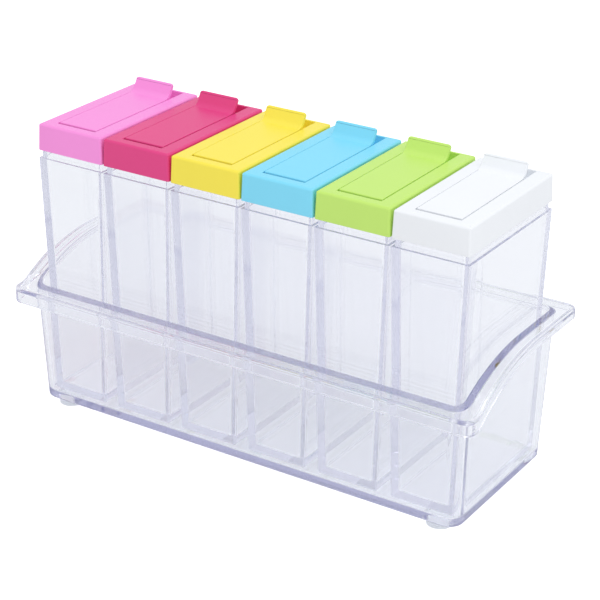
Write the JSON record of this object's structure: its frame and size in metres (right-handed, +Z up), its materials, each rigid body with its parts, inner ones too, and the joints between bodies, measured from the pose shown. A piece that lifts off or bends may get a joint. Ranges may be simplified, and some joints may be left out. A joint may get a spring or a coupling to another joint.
{
  "type": "spice box",
  "caption": "Row of slim clear spice boxes with coloured caps and flip-up pour flaps, standing in a clear tray whose flanged rim sweeps from a low front to a high rear.",
  "frame": {"origin": "on the table, under the middle of the tray", "axes": "+X along the row of boxes, +Y to the high rear of the tray, +Z up"},
  "size_m": [0.219, 0.0898, 0.1319],
  "materials": {
    "clear_tray": "polished clear polystyrene, moulded",
    "clear_box": "polished clear polystyrene, moulded",
    "cap_pink": "satin pink polypropylene, moulded",
    "cap_magenta": "satin magenta polypropylene, moulded",
    "cap_yellow": "satin yellow polypropylene, moulded",
    "cap_blue": "satin blue polypropylene, moulded",
    "cap_green": "satin green polypropylene, moulded",
    "cap_white": "satin white polypropylene, moulded"
  },
  "bodies": {
    "tray": {"tray": "clear_tray"},
    "box_1": {"box_1": "clear_box"},
    "cap_1": {"cap_1": "cap_pink"},
    "flap_1": {"flap_1": "cap_pink"},
    "box_2": {"box_2": "clear_box"},
    "cap_2": {"cap_2": "cap_magenta"},
    "flap_2": {"flap_2": "cap_magenta"},
    "box_3": {"box_3": "clear_box"},
    "cap_3": {"cap_3": "cap_yellow"},
    "flap_3": {"flap_3": "cap_yellow"},
    "box_4": {"box_4": "clear_box"},
    "cap_4": {"cap_4": "cap_blue"},
    "flap_4": {"flap_4": "cap_blue"},
    "box_5": {"box_5": "clear_box"},
    "cap_5": {"cap_5": "cap_green"},
    "flap_5": {"flap_5": "cap_green"},
    "box_6": {"box_6": "clear_box"},
    "cap_6": {"cap_6": "cap_white"},
    "flap_6": {"flap_6": "cap_white"}
  },
  "joints": [
    {"name": "box_1_lift", "type": "slide", "parent": "tray", "child": "box_1", "axis": [0, 0, 1], "range_m": [0, 0.13]},
    {"name": "cap_1_pull", "type": "slide", "parent": "box_1", "child": "cap_1", "axis": [0, 0, 1], "range_m": [0, 0.03]},
    {"name": "flap_1_hinge", "type": "hinge", "parent": "cap_1", "child": "flap_1", "pos_m": [-0.08375, -0.0248, 0.1241], "axis": [1, 0, 0], "range_deg": [0, 100]},
    {"name": "box_2_lift", "type": "slide", "parent": "tray", "child": "box_2", "axis": [0, 0, 1], "range_m": [0, 0.13]},
    {"name": "cap_2_pull", "type": "slide", "parent": "box_2", "child": "cap_2", "axis": [0, 0, 1], "range_m": [0, 0.03]},
    {"name": "flap_2_hinge", "type": "hinge", "parent": "cap_2", "child": "flap_2", "pos_m": [-0.05025, -0.0248, 0.1241], "axis": [1, 0, 0], "range_deg": [0, 100]},
    {"name": "box_3_lift", "type": "slide", "parent": "tray", "child": "box_3", "axis": [0, 0, 1], "range_m": [0, 0.13]},
    {"name": "cap_3_pull", "type": "slide", "parent": "box_3", "child": "cap_3", "axis": [0, 0, 1], "range_m": [0, 0.03]},
    {"name": "flap_3_hinge", "type": "hinge", "parent": "cap_3", "child": "flap_3", "pos_m": [-0.01675, -0.0248, 0.1241], "axis": [1, 0, 0], "range_deg": [0, 100]},
    {"name": "box_4_lift", "type": "slide", "parent": "tray", "child": "box_4", "axis": [0, 0, 1], "range_m": [0, 0.13]},
    {"name": "cap_4_pull", "type": "slide", "parent": "box_4", "child": "cap_4", "axis": [0, 0, 1], "range_m": [0, 0.03]},
    {"name": "flap_4_hinge", "type": "hinge", "parent": "cap_4", "child": "flap_4", "pos_m": [0.01675, -0.0248, 0.1241], "axis": [1, 0, 0], "range_deg": [0, 100]},
    {"name": "box_5_lift", "type": "slide", "parent": "tray", "child": "box_5", "axis": [0, 0, 1], "range_m": [0, 0.13]},
    {"name": "cap_5_pull", "type": "slide", "parent": "box_5", "child": "cap_5", "axis": [0, 0, 1], "range_m": [0, 0.03]},
    {"name": "flap_5_hinge", "type": "hinge", "parent": "cap_5", "child": "flap_5", "pos_m": [0.05025, -0.0248, 0.1241], "axis": [1, 0, 0], "range_deg": [0, 100]},
    {"name": "box_6_lift", "type": "slide", "parent": "tray", "child": "box_6", "axis": [0, 0, 1], "range_m": [0, 0.13]},
    {"name": "cap_6_pull", "type": "slide", "parent": "box_6", "child": "cap_6", "axis": [0, 0, 1], "range_m": [0, 0.03]},
    {"name": "flap_6_hinge", "type": "hinge", "parent": "cap_6", "child": "flap_6", "pos_m": [0.08375, -0.0248, 0.1241], "axis": [1, 0, 0], "range_deg": [0, 100]}
  ]
}
